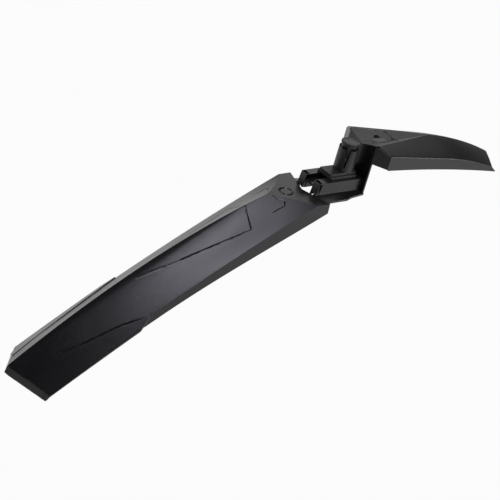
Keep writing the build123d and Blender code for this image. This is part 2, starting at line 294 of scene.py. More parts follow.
def finishPiece(piece, finish, node):
    mesh = piece.data
    mesh.transform(Matrix.Scale(mm, 4))
    mesh.materials.clear()
    mesh.materials.append(finish)
    mesh.polygons.foreach_set("material_index", [0] * len(mesh.polygons))
    mesh.shade_smooth()
    mesh.set_sharp_from_angle(angle=math.radians(38))
    even = piece.modifiers.new("even", "WEIGHTED_NORMAL")
    even.keep_sharp, even.weight = True, 60
    plainMesh(piece)
    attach(piece, "root")
    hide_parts(node)
    print(piece.name, "faces", len(piece.data.polygons))


def circle(r, z, steps):
    turns = [2 * math.pi * k / steps for k in range(steps)]
    return [(r * math.cos(t), r * math.sin(t), z) for t in turns]


def bridge(bm, a, b):  # faces between two closed rows of vertices
    count = len(a)
    for k in range(count):
        bm.faces.new((a[k], a[(k + 1) % count], b[(k + 1) % count], b[k]))


def prism(outline, along):  # closed block from an outline of points, swept by a vector
    bm = bmesh.new()
    low = [bm.verts.new(p) for p in outline]
    high = [bm.verts.new(Vector(p) + Vector(along)) for p in outline]
    bm.faces.new(low)
    bm.faces.new(high)
    bridge(bm, low, high)
    bmesh.ops.recalc_face_normals(bm, faces=bm.faces[:])
    return bm


def block(outline, along, size, test=None, mirrored=True):
    bm = prism(outline, along)
    roundEdges(bm, sharpEdges(bm, 20, test), size)
    if mirrored:
        addTo(bm, flipped(bm))
    return bm


def upright(plan, low, tall, size, mirrored=True):  # a block on an outline seen from above
    return block([(x, y, low) for x, y in plan], (0, 0, tall), size, mirrored=mirrored)


def joined(name, parts):
    bm = bmesh.new()
    for part in parts:
        addTo(bm, part)
    return meshObject(name, bm)


def joinInto(piece, bm):
    whole = bmesh.new()
    whole.from_mesh(piece.data)
    addTo(whole, bm)
    whole.to_mesh(piece.data)
    whole.free()


def ringOf(profile, steps=96):  # closed profile of radius and height, turned about the plug's axis
    bm = bmesh.new()
    rings = [[bm.verts.new(p) for p in circle(r, z, steps)] for r, z in profile]
    for n, ring in enumerate(rings):
        bridge(bm, ring, rings[(n + 1) % len(rings)])
    bmesh.ops.remove_doubles(bm, verts=bm.verts[:], dist=0.0005)
    bmesh.ops.dissolve_degenerate(bm, edges=bm.edges[:], dist=0.0005)
    bmesh.ops.recalc_face_normals(bm, faces=bm.faces[:])
    return bm


def takeAway(piece, bm):
    cutter = meshObject("cutter", bm)
    cut = piece.modifiers.new("cut", "BOOLEAN")
    cut.operation, cut.solver, cut.object = "DIFFERENCE", "EXACT", cutter
    plainMesh(piece)
    bpy.data.objects.remove(cutter)


def cutLine(bm, start, end, wide, deep):  # a V groove along a straight line, seen from above
    a, b = Vector((*start, 0)), Vector((*end, 0))
    along = (b - a).normalized()
    across = Vector((-along.y, along.x, 0))
    span = (b - a).length

    def near(face):
        offset = face.calc_center_median() - a
        reach = 2.0 + math.sqrt(face.calc_area())
        beside = abs(offset.dot(across)) < reach + wide
        return face.normal.z >= 0.15 and beside and -reach < offset.dot(along) < span + reach

    for point, normal in ((a, along), (b, along), (a - across * wide / 2, across),
                          (a, across), (a + across * wide / 2, across)):
        cutBy(bm, point, normal, faces=[f for f in bm.faces if near(f)])
        bm.normal_update()
    for vert in bm.verts:
        offset = vert.co - a
        inLine = abs(offset.dot(across)) < 0.05 * wide and 0.01 < offset.dot(along) < span - 0.01
        if inLine and vert.normal.z > 0:
            vert.co.z -= deep
    bm.normal_update()


# Geometry Nodes helpers

def newTree(name, kinds):  # a tree with one named input for each size
    tree = bpy.data.node_groups.new(name, "GeometryNodeTree")
    tree.interface.new_socket("Shape", in_out="OUTPUT", socket_type="NodeSocketGeometry")
    ids = {}
    for key, kind in kinds.items():
        ids[key] = tree.interface.new_socket(key, in_out="INPUT", socket_type="NodeSocket" + kind).identifier
    given = tree.nodes.new("NodeGroupInput")
    return tree, ids, {key: Wire(tree, given, key) for key in kinds}


def grown(name, tree, ids, values, shape, finish):  # closes the tree, runs it and keeps its mesh
    real = makeNode(tree, "GeometryNodeRealizeInstances", None, {"Geometry": shape})
    coated = makeNode(tree, "GeometryNodeSetMaterial", None, {"Geometry": real, "Material": finish})
    last = tree.nodes.new("NodeGroupOutput")
    tree.links.new(coated.socket, last.inputs["Shape"])
    holder = bpy.data.objects.new(name, bpy.data.meshes.new(name))
    bpy.context.scene.collection.objects.link(holder)
    grow = holder.modifiers.new("grow", "NODES")
    grow.node_group = tree
    for key, value in values.items():
        grow[ids[key]] = value
    return plainMesh(holder)


def bladeSkin(name, sizes, law):  # a grid that follows the blade's rule
    kinds = {key: "Int" if isinstance(value, int) else "Float" for key, value in sizes.items()}
    tree, ids, size = newTree(name, kinds)
    rows, cols = size["rows"] + size["lipRows"], size["roofCols"] + size["sideCols"]
    grid = makeNode(tree, "GeometryNodeMeshGrid", None, {
        "Size X": 1.0, "Size Y": 1.0, "Vertices X": rows + 1, "Vertices Y": cols + 1,
    })
    place = makeNode(tree, "ShaderNodeSeparateXYZ", None, {0: makeNode(tree, "GeometryNodeInputPosition")})
    row = (place.out("X") + 0.5) * rows
    along = (row / size["rows"]).low(1.0)
    lip = ((row - size["rows"]) / size["lipRows"].high(1.0)).high(0.0)
    column = (place.out("Y") + 0.5) * cols
    roof = (column / size["roofCols"]).low(1.0)
    side = ((column - size["roofCols"]) / size["sideCols"]).high(0.0)
    there = makeNode(tree, "ShaderNodeCombineXYZ", None, dict(enumerate(law(size, along, roof, side, lip))))
    moved = makeNode(tree, "GeometryNodeSetPosition", None, {"Geometry": grid, "Position": there})
    holder = grown(name, tree, ids, sizes, moved, blackPlastic)
    bm = bmesh.new()
    bm.from_mesh(holder.data)
    bpy.data.objects.remove(holder)
    faceUp(bm)
    return bm


def repeatAround(name, part, count, turn, finish):  # copies about the plug's axis
    tree, ids, size = newTree(name, {"part": "Object", "count": "Int", "turn": "Float"})
    points = makeNode(tree, "GeometryNodeMeshLine", None, {"Count": size["count"], "Offset": (0, 0, 0)})
    angle = makeNode(tree, "GeometryNodeInputIndex") * (2 * math.pi) / size["count"] + size["turn"]
    spin = makeNode(tree, "ShaderNodeCombineXYZ", None, {2: angle})
    source = makeNode(tree, "GeometryNodeObjectInfo", None, {"Object": size["part"]}, "Geometry")
    copies = makeNode(tree, "GeometryNodeInstanceOnPoints", None, {
        "Points": points, "Instance": source, "Rotation": spin,
    })
    holder = grown(name, tree, ids, {"part": part, "count": count, "turn": turn}, copies, finish)
    bpy.data.objects.remove(part)
    return holder


# rear blade

wallT = 2.5
rearBlade = {
    "rows": 120, "roofCols": 36, "sideCols": 4, "lipRows": 3,
    "headX": -43.0, "tipX": -384.6, "kinkX": -256.0, "cornerX": -357.0, "half": 36.0,
    "floorZ": -20.0, "ridgeX": -105.0, "ridgeSlope": 0.35, "ridgeBow": 654.0,
    "roofDrop": 35.0, "steepX": -270.0, "roofBow": 1053.0,
    "sideLow": 9.3, "sideRise": 10.4, "sideEnd": 3.0, "sideRun": 0.6, "flare": 1.2, "plateOut": 5.0,
    "lipX": -2.67, "lipZ": -7.54,  # the end is turned down by this much
    "spineX": -128.0, "spineGrow": 0.05, "spineLeast": 0.5,
    "spineWide": 5.0, "spineSteep": 0.42,  # the slope is steeper by the ridge
    "sag": 1.3, "sagX": -108.0, "sagEnd": -352.0, "sagRun": 45.0,  # slopes a little hollow between these two
    "sagPeak": 6.75,  # makes sag the depth at a third of the slope
}
rearEdges = {"landX": -54.5, "landBack": 11.5, "landHalf": 35.5, "brow": 2.4, "browFree": 0.8, "ridge": 0.9, "rim": 0.5}


def rearRidge(size, x):
    q = size["ridgeX"] - x
    return size["floorZ"] - size["ridgeSlope"] * q - q * q / (2 * size["ridgeBow"])


def rearDrop(size, x):
    off = x - size["steepX"]
    return size["roofDrop"] - off * off / (2 * size["roofBow"])


def rearLaw(size, along, roof, side, lip):
    x = size["headX"] + (size["tipX"] - size["headX"]) * along
    sweep = (size["cornerX"] - size["tipX"]) * size["half"] / (size["half"] + size["plateOut"])
    late = ((size["kinkX"] - x) / (size["kinkX"] - size["tipX"])).high(0.0)
    edgeX = x + sweep * late * late
    ridgeZ = rearRidge(size, x)
    edgeZ = rearRidge(size, edgeX) - rearDrop(size, edgeX)
    plateLen = size["kinkX"] - size["cornerX"]
    lower = (1 - (size["kinkX"] - edgeX) / plateLen / size["sideRun"]).high(0.0).low(1.0)
    upper = ((edgeX - size["kinkX"]) / (size["headX"] - size["kinkX"])).high(0.0)
    height = (size["sideEnd"] + (size["sideLow"] - size["sideEnd"]) * lower * lower
              + size["sideRise"] * upper * upper * (3 - 2 * upper))
    spine = ((size["spineX"] - x) * size["spineGrow"]).high(size["spineLeast"]).low(size["spineWide"])
    across = (size["half"] * roof / spine).low(1.0)
    begun = ((size["sagX"] - x) / size["sagRun"]).low((x - size["sagEnd"]) / size["sagRun"]).high(0.0).low(1.0)
    hollow = size["sagPeak"] * size["sag"] * begun * roof * (1 - roof) * (1 - roof)
    dish = size["spineSteep"] * spine * across * (1 - across / 2) * (1 - roof) + hollow
    return (x + (edgeX - x) * roof + size["lipX"] * lip,
            size["half"] * roof + size["flare"] * side,
            ridgeZ + (edgeZ - ridgeZ) * roof - height * side * (1 - lip) - dish + size["lipZ"] * lip)


def rearRoof(x, half, lift):  # the same slope for the side plates
    size = rearBlade
    part = half / size["half"]
    rest = max(1 - part, 0)
    begun = min(max((x - size["sagEnd"]) / size["sagRun"], 0), 1)
    hollow = size["sagPeak"] * size["sag"] * begun * part * rest * rest
    dish = size["spineSteep"] * size["spineWide"] / 2 * rest + hollow
    return Vector((x, half, rearRidge(size, x) - rearDrop(size, x) * part - dish + lift))


rearGrooves = [  # start and end seen from above, width and depth, left half
    ((-130.5, 0.3), (-134, 21.6), 1.2, 0.6), ((-134, 21.6), (-212, 11.3), 1.2, 0.55),  # kite
    ((-212, 11.3), (-224, 9.6), 1.0, 0.2), ((-224, 9.6), (-256, 4.4), 3.2, 0.28),
    ((-89.6, 14.2), (-91.2, 18.4), 1.7, 1.6), ((-91.2, 18.4), (-107.2, 18.2), 1.7, 1.6),  # marks at the head
    ((-89.6, 14.2), (-95.7, 9.5), 1.0, 0.4), ((-95.7, 9.5), (-98.6, 3.5), 1.0, 0.4),
    ((-257.5, 35.6), (-275.5, 29.6), 1.5, 0.9), ((-275.5, 29.6), (-321, 22.2), 1.5, 0.9),  # beside the plates
    ((-321, 22.2), (-337, 18.6), 1.2, 0.4),
]
landingRing = {"x": -77.0, "d": 18.0, "wide": 3.0, "deep": 1.4, "bottom": 0.5, "above": 1.0, "steps": 72}


def ringCutter(size, level):  # a round groove with sloping sides
    outer, inner = size["d"] / 2, size["d"] / 2 - size["wide"]
    mid, half = (outer + inner) / 2, size["bottom"] / 2
    bm = ringOf([(outer, size["above"]), (outer, 0.0), (mid + half, -size["deep"]), (mid - half, -size["deep"]),
                 (inner, 0.0), (inner, size["above"])], size["steps"])
    for vert in bm.verts:
        vert.co += Vector((size["x"], 0, level))
    return bm


def makeRearBlade():
    size, edges = rearBlade, rearEdges
    level = size["floorZ"] - 0.01
    bm = bladeSkin("rearSkin", size, rearLaw)
    cutBy(bm, (0, 0, size["floorZ"]), (0, 0, 1))
    for vert in bm.verts:
        vert.co.z = min(vert.co.z, size["floorZ"])
    sweep = Vector((edges["landBack"], edges["landHalf"], 0)).normalized()
    cutBy(bm, (edges["landX"], 0, 0), (sweep.y, -sweep.x, 0), clear=True)
    mirrorHalf(bm)

    def onBrow(e):  # round the landing
        inside = max(abs(v.co.y) for v in e.verts) < edges["landHalf"]
        return inside and min(v.co.z for v in e.verts) > level

    def belowBrow(e):
        return min(v.co.z for v in e.verts) < level - edges["browFree"]

    roundEdges(bm, sharpEdges(bm, 5, onBrow, 0.2), edges["brow"], 4)
    roundEdges(bm, sharpEdges(bm, 12, belowBrow, 0.2), edges["ridge"])
    for start, end, wide, deep in rearGrooves:
        for turn in (1, -1):
            cutLine(bm, (start[0], turn * start[1]), (end[0], turn * end[1]), wide, deep)
    piece = shellFrom("rearBlade", bm, wallT, edges["rim"])
    takeAway(piece, ringCutter(landingRing, size["floorZ"]))
    finishPiece(piece, blackPlastic, "mudguard_body")


makeRearBlade()

sidePlate = {
    "rows": 44, "cols": 8, "lipRows": 3, "gather": 1.3,  # rows lie closer at the upper end
    "out": 4.9, "top": 31.2, "low": 19.0, "lag": 20.0, "endLag": 14.1, "ramp": 7.7,
    "innerLift": 1.5, "outerLift": 2.0, "endLift": 0.15, "footAhead": 3.3, "footOut": 0.5,
    "foot": 1.5, "flare": 0.4, "footLip": 0.9, "thick": 1.5, "round": 0.9, "rim": 0.4,
}
endCorner = {"x": -359.6, "y": 41.3, "end": (-24.2, -36.0), "r": 7.0, "cuts": 5}


def platePoints(v):  # inner edge, outer edge and foot at a part of the plate's length
    size, blade = sidePlate, rearBlade
    length = blade["kinkX"] - blade["cornerX"]
    start = size["ramp"] / length
    ease = min(v / start, 1.0)
    u = max(v, start)
    innerLift = size["innerLift"] + (size["endLift"] - size["innerLift"]) * u
    outerLift = size["outerLift"] + (size["endLift"] - size["outerLift"]) * u
    side = blade["kinkX"] - length * u
    lag = size["lag"] + (size["endLag"] - size["lag"]) * u ** 3
    half = size["top"] + (size["low"] - size["top"]) * u
    inner, outer = Vector((side - lag, half)), Vector((side, blade["half"] + size["out"]))
    footIn = Vector((blade["kinkX"] - size["lag"], size["top"]))
    footOut = Vector((blade["kinkX"] + size["footAhead"], blade["half"] + size["footOut"]))
    inner, outer = footIn.lerp(inner, ease), footOut.lerp(outer, ease)
    top, edge = rearRoof(inner.x, inner.y, innerLift), rearRoof(outer.x, outer.y, outerLift)
    return top, edge, edge + Vector((0, size["flare"], -size["foot"] - outerLift))


def roundCorner(bm, size):  # the lower corner, rounded as seen from above
    tip, side = Vector((size["x"], size["y"], 0)), Vector((1, 0, 0))
    end = Vector((*size["end"], 0)).normalized()
    middle = tip + (end + side).normalized() * size["r"] / math.sin(end.angle(side) / 2)
    endOut, sideOut = Vector((end.y, -end.x, 0)), Vector((0, 1, 0))
    for k in range(1, size["cuts"]):
        out = sideOut.lerp(endOut, k / size["cuts"]).normalized()
        cutBy(bm, middle + out * size["r"], out, clear=True)


def makeSidePlates():
    size = sidePlate
    bm = bmesh.new()
    rows = []
    for r in range(size["rows"] + size["lipRows"] + 1):
        top, edge, foot = platePoints(min(r / size["rows"], 1.0) ** size["gather"])
        lip = max(r - size["rows"], 0) / size["lipRows"]
        foot = foot.lerp(edge, size["footLip"] * lip)
        drop = lip * Vector((rearBlade["lipX"], 0, rearBlade["lipZ"]))
        points = [top.lerp(edge, c / size["cols"]) for c in range(size["cols"] + 1)] + [edge.lerp(foot, 0.5), foot]
        rows.append([bm.verts.new(p + drop) for p in points])
    for a, b in zip(rows, rows[1:]):
        for c in range(len(a) - 1):
            bm.faces.new((a[c], a[c + 1], b[c + 1], b[c]))
    roundCorner(bm, endCorner)
    mirrorHalf(bm)
    roundEdges(bm, sharpEdges(bm, 20), size["round"])
    piece = shellFrom("sidePlates", bm, size["thick"], size["rim"])
    finishPiece(piece, blackPlastic, "mudguard_body")


makeSidePlates()
print("rear blade done")


# front blade

frontBlade = {
    "rows": 80, "roofCols": 16, "sideCols": 4, "lipRows": 0, "bulge": 0.7, "topZ": 38.6,
    "wallX": 18.0, "spare": 4.0, "apexX": 127.6, "apexZ": 31.6, "slope": 8.7, "bow": 538.0,
    "tipX": 249.5, "cornerX": 223.5, "half": 38.8, "taper": 4.0, "drop": 15.6, "dropTip": 11.6,
    "skirtZ": 15.2, "skirtFall": 0.085, "skirtBow": 2780.0, "flare": 0.6, "footAhead": 10.0,
}
frontRear = [(18.0, 22.5), (26.0, 35.54), (30.0, 38.8)]  # rear corner seen from above
frontEdges = {"creaseY": 30.0, "crease": 0.7, "ridgeX": 130.0, "apexFree": 6.0, "panel": 0.6, "rim": 1.1}
wallHalf = 22.5
panelRim = 1.6
valleyDip = 8.0  # the top panel is folded into a valley, this deep at the wall


def frontLaw(size, along, roof, side, lip):
    rad = math.radians(frontBlade["slope"])
    x = size["wallX"] - size["spare"] + (size["tipX"] - size["wallX"] + size["spare"]) * along

    def ridge(p):
        fore = (p - size["apexX"]).high(0.0)
        sine = math.sin(rad) + fore / size["bow"]
        curved = size["apexZ"] - size["bow"] * (math.cos(rad) - (1 - sine * sine) ** 0.5)
        return curved - (p - size["apexX"]).low(0.0) * math.tan(rad)

    late = ((x - size["apexX"]) / (size["tipX"] - size["apexX"])).high(0.0)
    edgeX = x - (size["tipX"] - size["cornerX"]) * late * late
    footX = edgeX + size["footAhead"] * late
    run = size["cornerX"] - size["wallX"]

    def halfWidth(p):
        v = (p - size["wallX"]) / run
        return size["half"] - size["taper"] * v * (2 - v)

    edgeZ = ridge(edgeX) - (size["drop"] + (size["dropTip"] - size["drop"]) * (edgeX - size["wallX"]) / run)
    d = footX - size["wallX"]
    footZ = size["skirtZ"] - size["skirtFall"] * d - d * d / (2 * size["skirtBow"])
    ridgeZ = ridge(x)
    edgeY = halfWidth(edgeX)
    footY = halfWidth(footX) + size["flare"]
    return (x + (edgeX - x) * roof + (footX - edgeX) * side,
            edgeY * roof + (footY - edgeY) * side,
            ridgeZ + (edgeZ - ridgeZ) * roof + (footZ - edgeZ) * side + 4 * size["bulge"] * roof * (1 - roof))


def rearRidgeZ(x):  # the front ridge, carried straight on behind the apex
    return frontBlade["apexZ"] - (x - frontBlade["apexX"]) * math.tan(math.radians(frontBlade["slope"]))


panelLen = frontBlade["apexX"] - frontBlade["wallX"]
wallTop = rearRidgeZ(frontBlade["wallX"]) - frontBlade["drop"] * (wallHalf + panelRim) / frontBlade["half"]
valleyRise = (frontBlade["apexZ"] - wallTop + valleyDip) / panelLen
panelSlope = valleyDip / (wallHalf + panelRim)


def panelZ(x, y):
    return wallTop - valleyDip + valleyRise * (x - frontBlade["wallX"]) + panelSlope * abs(y)


frontPanel = {
    "rim": 1.1, "step": 0.5, "sink": 0.7, "notchX": 67.4, "notchBack": 62.7, "notchHalf": 12.5,
    "wide": 1.3, "deep": 0.7, "start": 0.2, "lineX": 19.0, "lineIn": 1.65, "lineEnd": 0.4,
    "pitX": 46.2, "pitD": 15.5, "pitTall": 8.0, "pitLean": 1.5,
    "padRise": 0.75, "padDeep": 1.8, "padOver": 0.2, "padRamp": 11.0, "steps": 64,
}


def sinkPanel(bm, size):  # behind the cross groove the valley lies a step below its rim
    crease = Vector((wallHalf + panelRim, panelLen, 0)).normalized()
    notch = Vector((size["notchHalf"], size["notchX"] - size["notchBack"], 0)).normalized()
    sides = [(Vector((frontBlade["apexX"], 0, 0)) - crease * size["rim"], -crease),
             (Vector((size["notchX"], 0, 0)), -notch)]

    def onPanel(p):
        return p.x < frontBlade["apexX"] + 0.4 and abs(p.z - panelZ(p.x, p.y)) < 0.02

    for shift in (0.0, size["step"]):
        for point, inward in sides:
            faces = [f for f in bm.faces if all(onPanel(v.co) for v in f.verts)]
            cutBy(bm, point + inward * shift, inward, faces=faces)
    for vert in bm.verts:
        if onPanel(vert.co):
            flat = Vector((vert.co.x, vert.co.y, 0))
            depth = min((flat - point).dot(inward) for point, inward in sides)
            vert.co.z -= size["sink"] * min(max(depth / size["step"], 0.0), 1.0)


def disc(middle, d, grow, low, high, steps):  # round block, its upper end larger by grow
    bm = prism([(middle + x, y, z) for x, y, z in circle(d / 2, low, steps)], (0, 0, high - low))
    for vert in bm.verts:
        if vert.co.z > (low + high) / 2:
            vert.co.x = middle + (vert.co.x - middle) * (d + grow) / d
            vert.co.y *= (d + grow) / d
    return bm


def makeFrontBlade():
    size, panel, edges = frontBlade, frontPanel, frontEdges
    bm = bladeSkin("frontSkin", size, frontLaw)
    cutBy(bm, (size["wallX"], 0, wallTop - valleyDip), Vector((-valleyRise, -panelSlope, 1)).normalized())
    for vert in bm.verts:
        vert.co.z = min(vert.co.z, panelZ(vert.co.x, vert.co.y))
    cutBy(bm, (size["wallX"], 0, 0), (-1, 0, 0), clear=True)
    for a, b in zip(frontRear, frontRear[1:]):
        run = Vector((b[0] - a[0], b[1] - a[1], 0)).normalized()
        cutBy(bm, (a[0], a[1], 0), (-run.y, run.x, 0), clear=True)
    sinkPanel(bm, panel)
    mirrorHalf(bm)
    apex = Vector((size["apexX"], 0))

    def onCrease(e):
        return min(abs(v.co.y) for v in e.verts) > edges["creaseY"]

    def onPanelEdge(e):  # also the ridge ahead, but not the crowded apex
        clear = all((v.co.xy - apex).length > edges["apexFree"] and abs(v.co.y) < edges["creaseY"] for v in e.verts)
        raised = max(v.co.z - panelZ(v.co.x, v.co.y) for v in e.verts) > -0.02
        return clear and (raised or min(v.co.x for v in e.verts) > edges["ridgeX"])

    roundEdges(bm, sharpEdges(bm, 25, onCrease, 0.2), edges["crease"])
    roundEdges(bm, sharpEdges(bm, 7, onPanelEdge, 0.2), edges["panel"])
    lineY = wallHalf + panelRim - panel["lineIn"]
    lineEnd = lineY * (size["apexX"] - panel["notchBack"]) / panelLen - panel["lineEnd"]
    for turn in (1, -1):
        for start, end in (((panel["notchX"], panel["start"]), (panel["notchBack"], panel["notchHalf"])),
                           ((panel["lineX"], lineY), (panel["notchBack"], lineEnd))):
            cutLine(bm, (start[0], turn * start[1]), (end[0], turn * end[1]), panel["wide"], panel["deep"])
    piece = shellFrom("frontBlade", bm, wallT, edges["rim"])
    for vert in piece.data.vertices:
        vert.co.z = min(vert.co.z, size["topZ"])
    level = panelZ(panel["pitX"], 0) + panel["padRise"]  # a round flat, let into both faces of the valley
    grow = panel["pitLean"] * panel["pitTall"]
    takeAway(piece, disc(panel["pitX"], panel["pitD"], grow, level, level + panel["pitTall"], panel["steps"]))
    foot = panel["pitD"] + panel["padOver"] + panel["padRamp"]
    joinInto(piece, disc(panel["pitX"], foot, -panel["padRamp"], level - panel["padDeep"], level, panel["steps"]))
    finishPiece(piece, blackPlastic, "mudguard_body")


makeFrontBlade()
print("front blade done")


# bracket between the blades

bracket = {
    "floorZ": -20.0, "floorFall": 0.34, "floorRound": 0.6, "wallX": 18.0, "wallFoot": -24.44, "wallRound": 0.6,
    "railZ": -6.0, "railLow": -22.5, "railOut": 16.8, "railIn": 6.5, "hollowOut": 14.3, "hollowIn": 9.0,
    "webZ": -11.5, "overlap": 0.5, "railRear": -46.0, "railRound": 0.7, "endLean": 2.6,
    "footZ": -27.0, "footRound": 0.3, "riserZ": -20.6, "riserRound": 0.4, "tall": 8.4,
    "roundBelow": 20.0, "under": 1.0, "webUnder": 1.2, "webX": 28.0, "webRound": 0.4,
}
railEnd = [(6.5, -22.5), (9.0, -22.3), (13.6, -18.6), (16.8, -18.6), (16.8, -6.0), (6.5, -6.0)]  # across and up
floorPlan = [(-49.87, 14.3), (-43.0, 35.5), (-34.0, 27.5), (-8.1, 27.5), (1.0, 25.1), (20.5, 23.3), (20.5, 14.3)]
riserPlan = [(-49.87, 14.3), (-43.0, 35.5), (-45.5, 35.5), (-52.37, 14.3)]
footPlan = [(-50.2, 14.3), (-44.0, 14.3), (-44.0, 16.8), (-49.3, 16.8)]


def makeRails(size):
    roofZ, webLow = size["railZ"] - wallT, size["webZ"] - wallT
    section = [(size["railOut"], size["railLow"]), (size["railOut"], size["railZ"]), (size["railIn"], size["railZ"]),
               (size["railIn"], size["webZ"]), (-size["overlap"], size["webZ"]), (-size["overlap"], webLow),
               (size["railIn"], webLow), (size["railIn"], size["railLow"]), (size["hollowIn"], size["railLow"]),
               (size["hollowIn"], roofZ), (size["hollowOut"], roofZ), (size["hollowOut"], size["railLow"])]

    def free(e):  # not at the middle or at the wall
        return min(v.co.y for v in e.verts) > 0 and max(v.co.x for v in e.verts) < size["wallX"] - 0.1

    rails = block([(size["railRear"], y, z) for y, z in section], (size["wallX"] - size["railRear"], 0, 0),
                  size["railRound"], free)
    lean = size["endLean"] / (size["railZ"] - size["railLow"])
    ends = block([(size["railRear"] - lean * (size["railZ"] - z), y, z) for y, z in railEnd],
                 (wallT + size["endLean"], 0, 0), size["railRound"])
    return [rails, ends, upright(footPlan, size["footZ"], size["tall"], size["footRound"])]


def makeFloor(size):
    bm = bmesh.new()
    bm.faces.new([bm.verts.new((x, y, 0)) for x, y in floorPlan])
    cutBy(bm, (0, size["railOut"], 0), (0, 1, 0))
    for vert in bm.verts:
        vert.co.z = size["floorZ"] - size["floorFall"] * max(vert.co.y - size["railOut"], 0)
    for part in bmesh.ops.extrude_face_region(bm, geom=bm.faces[:])["geom"]:
        if isinstance(part, bmesh.types.BMVert):
            part.co.z -= wallT
    bmesh.ops.recalc_face_normals(bm, faces=bm.faces[:])
    outside = sharpEdges(bm, 40, lambda e: min(v.co.y for v in e.verts) > size["hollowOut"] + 0.2)
    roundEdges(bm, outside, size["floorRound"])
    return [bm, flipped(bm), upright(riserPlan, size["riserZ"], -size["tall"], size["riserRound"])]


def makeWall(size):
    side = panelZ(size["wallX"], wallHalf) - size["under"]
    middle = panelZ(size["wallX"], 0) - size["under"]
    face = [(-wallHalf, size["wallFoot"]), (-size["railOut"], size["railLow"]), (size["railOut"], size["railLow"]),
            (wallHalf, size["wallFoot"]), (wallHalf, side), (0, middle), (-wallHalf, side)]
    wall = block([(size["wallX"], y, z) for y, z in face], (wallT, 0, 0), size["wallRound"],
                 lambda e: min(v.co.z for v in e.verts) < size["roundBelow"], mirrored=False)
    blade = frontBlade
    part = (size["webX"] - blade["wallX"]) / (blade["cornerX"] - blade["wallX"])
    edgeZ = rearRidgeZ(size["webX"]) - blade["drop"] - (blade["dropTip"] - blade["drop"]) * part
    sideTop = panelZ(size["wallX"], wallHalf) - size["webUnder"]
    web = [(size["wallX"], wallHalf, sideTop), (size["webX"], blade["half"], edgeZ - size["under"]),
           (size["webX"], blade["half"], blade["skirtZ"]), (size["wallX"], wallHalf, blade["skirtZ"])]
    return [wall, block(web, (wallT, 0, 0), size["webRound"])]


def makeBracket():
    piece = joined("bracket", makeRails(bracket) + makeFloor(bracket) + makeWall(bracket))
    finishPiece(piece, blackPlastic, "mudguard_body")


makeBracket()
print("bracket done")


# steerer plug

plugBase = {
    "rear": -27.0, "front": 12.0, "half": 10.0, "flange": 2.3, "step": 3.0, "railZ": -6.0, "corner": 1.0,
    "tongue": 6.3, "tongueZ": -11.3, "tongueTrim": 3.0, "overlap": 0.2, "round": 0.45,
}


def makePlugBase():
    size = plugBase
    c, more = size["corner"], size["overlap"]
    parts = []
    for half, low, high, trim in ((size["half"] + size["flange"], size["railZ"], -size["step"], 0.0),
                                  (size["half"], -size["step"] - more, 0.0, 0.0),
                                  (size["tongue"], size["tongueZ"], size["railZ"] + more, size["tongueTrim"])):
        x0, x1 = size["rear"] + trim, size["front"] - trim
        plan = [(x0 + c, -half), (x1 - c, -half), (x1, -half + c), (x1, half - c),
                (x1 - c, half), (x0 + c, half), (x0, half - c), (x0, -half + c)]
        parts.append(upright(plan, low, high - low, size["round"], mirrored=False))
    finishPiece(joined("plugBase", parts), plugPlastic, "plug_base")


makePlugBase()

sleeve = {
    "d": 23.4, "height": 27.0, "bore": 4.2, "fingers": 4,
    "slotLow": 1.8, "slotTop": 6.0, "slotFloor": 5.0, "slotOver": 1.0,
    "rimZ": 31.4, "coneSlope": 0.22, "coneWall": 1.6, "lip": 1.0, "seatTop": 23.0, "seatLow": 14.0, "boreTop": 12.0,
    "waist": 16.0, "steps": 20, "edge": 0.5, "footEdge": 0.4,
}


def coneRadius(z):
    return sleeve["d"] / 2 - sleeve["coneWall"] - sleeve["coneSlope"] * (sleeve["rimZ"] - z)


def makeSleeve():
    size = sleeve
    r, bore, floor = size["d"] / 2, size["bore"], size["slotFloor"]
    profile = [(r, floor), (r, size["waist"]), (r, size["height"]), (r - size["lip"], size["height"]),
               (coneRadius(size["seatTop"]), size["seatTop"]), (coneRadius(size["seatLow"]), size["seatLow"]),
               (bore, size["boreTop"]), (bore, floor)]
    widen = (size["slotTop"] - size["slotLow"]) / (size["height"] + size["slotOver"] - floor)
    bm = bmesh.new()
    columns = []
    for k in range(size["steps"] + 1):
        column = []
        for radius, z in profile:
            slot = size["slotLow"] + widen * (z - floor)
            reach = math.pi / size["fingers"] - math.asin(slot / 2 / radius)
            a = -reach + 2 * reach * k / size["steps"]
            column.append(bm.verts.new((radius * math.cos(a), radius * math.sin(a), z)))
        columns.append(column)
    for a, b in zip(columns, columns[1:]):
        bridge(bm, a, b)
    bm.faces.new(columns[0])
    bm.faces.new(columns[-1])
    bmesh.ops.recalc_face_normals(bm, faces=bm.faces[:])
    roundEdges(bm, sharpEdges(bm, 50, lambda e: max(v.co.z for v in e.verts) > floor + 0.1), size["edge"], 2)
    piece = repeatAround("sleeve", meshObject("finger", bm), size["fingers"], 0.0, plugPlastic)
    foot = [(r - size["footEdge"], 0.0), (r, size["footEdge"]), (r, floor), (bore, floor), (bore, 0.0)]
    joinInto(piece, ringOf(foot))
    finishPiece(piece, plugPlastic, "expander_sleeve")


makeSleeve()

cap = {
    "rimZ": 31.4, "d": 21.4, "h": 2.8, "floor": 0.2, "sunk": 2.3, "cone": 15.0, "boltR": 3.0, "steps": 144,
    "teeth": 24, "toothWide": 0.62, "toothIn": 1.4, "toothRound": 0.15, "toothLow": 0.2, "toothEdge": 0.25,
}
capRim = [(1.1, 0.0), (0.75, 0.35), (0.75, 2.3), (1.1, 2.68), (1.6, 2.8), (2.2, 2.8), (2.6, 2.3)]  # inward, upward


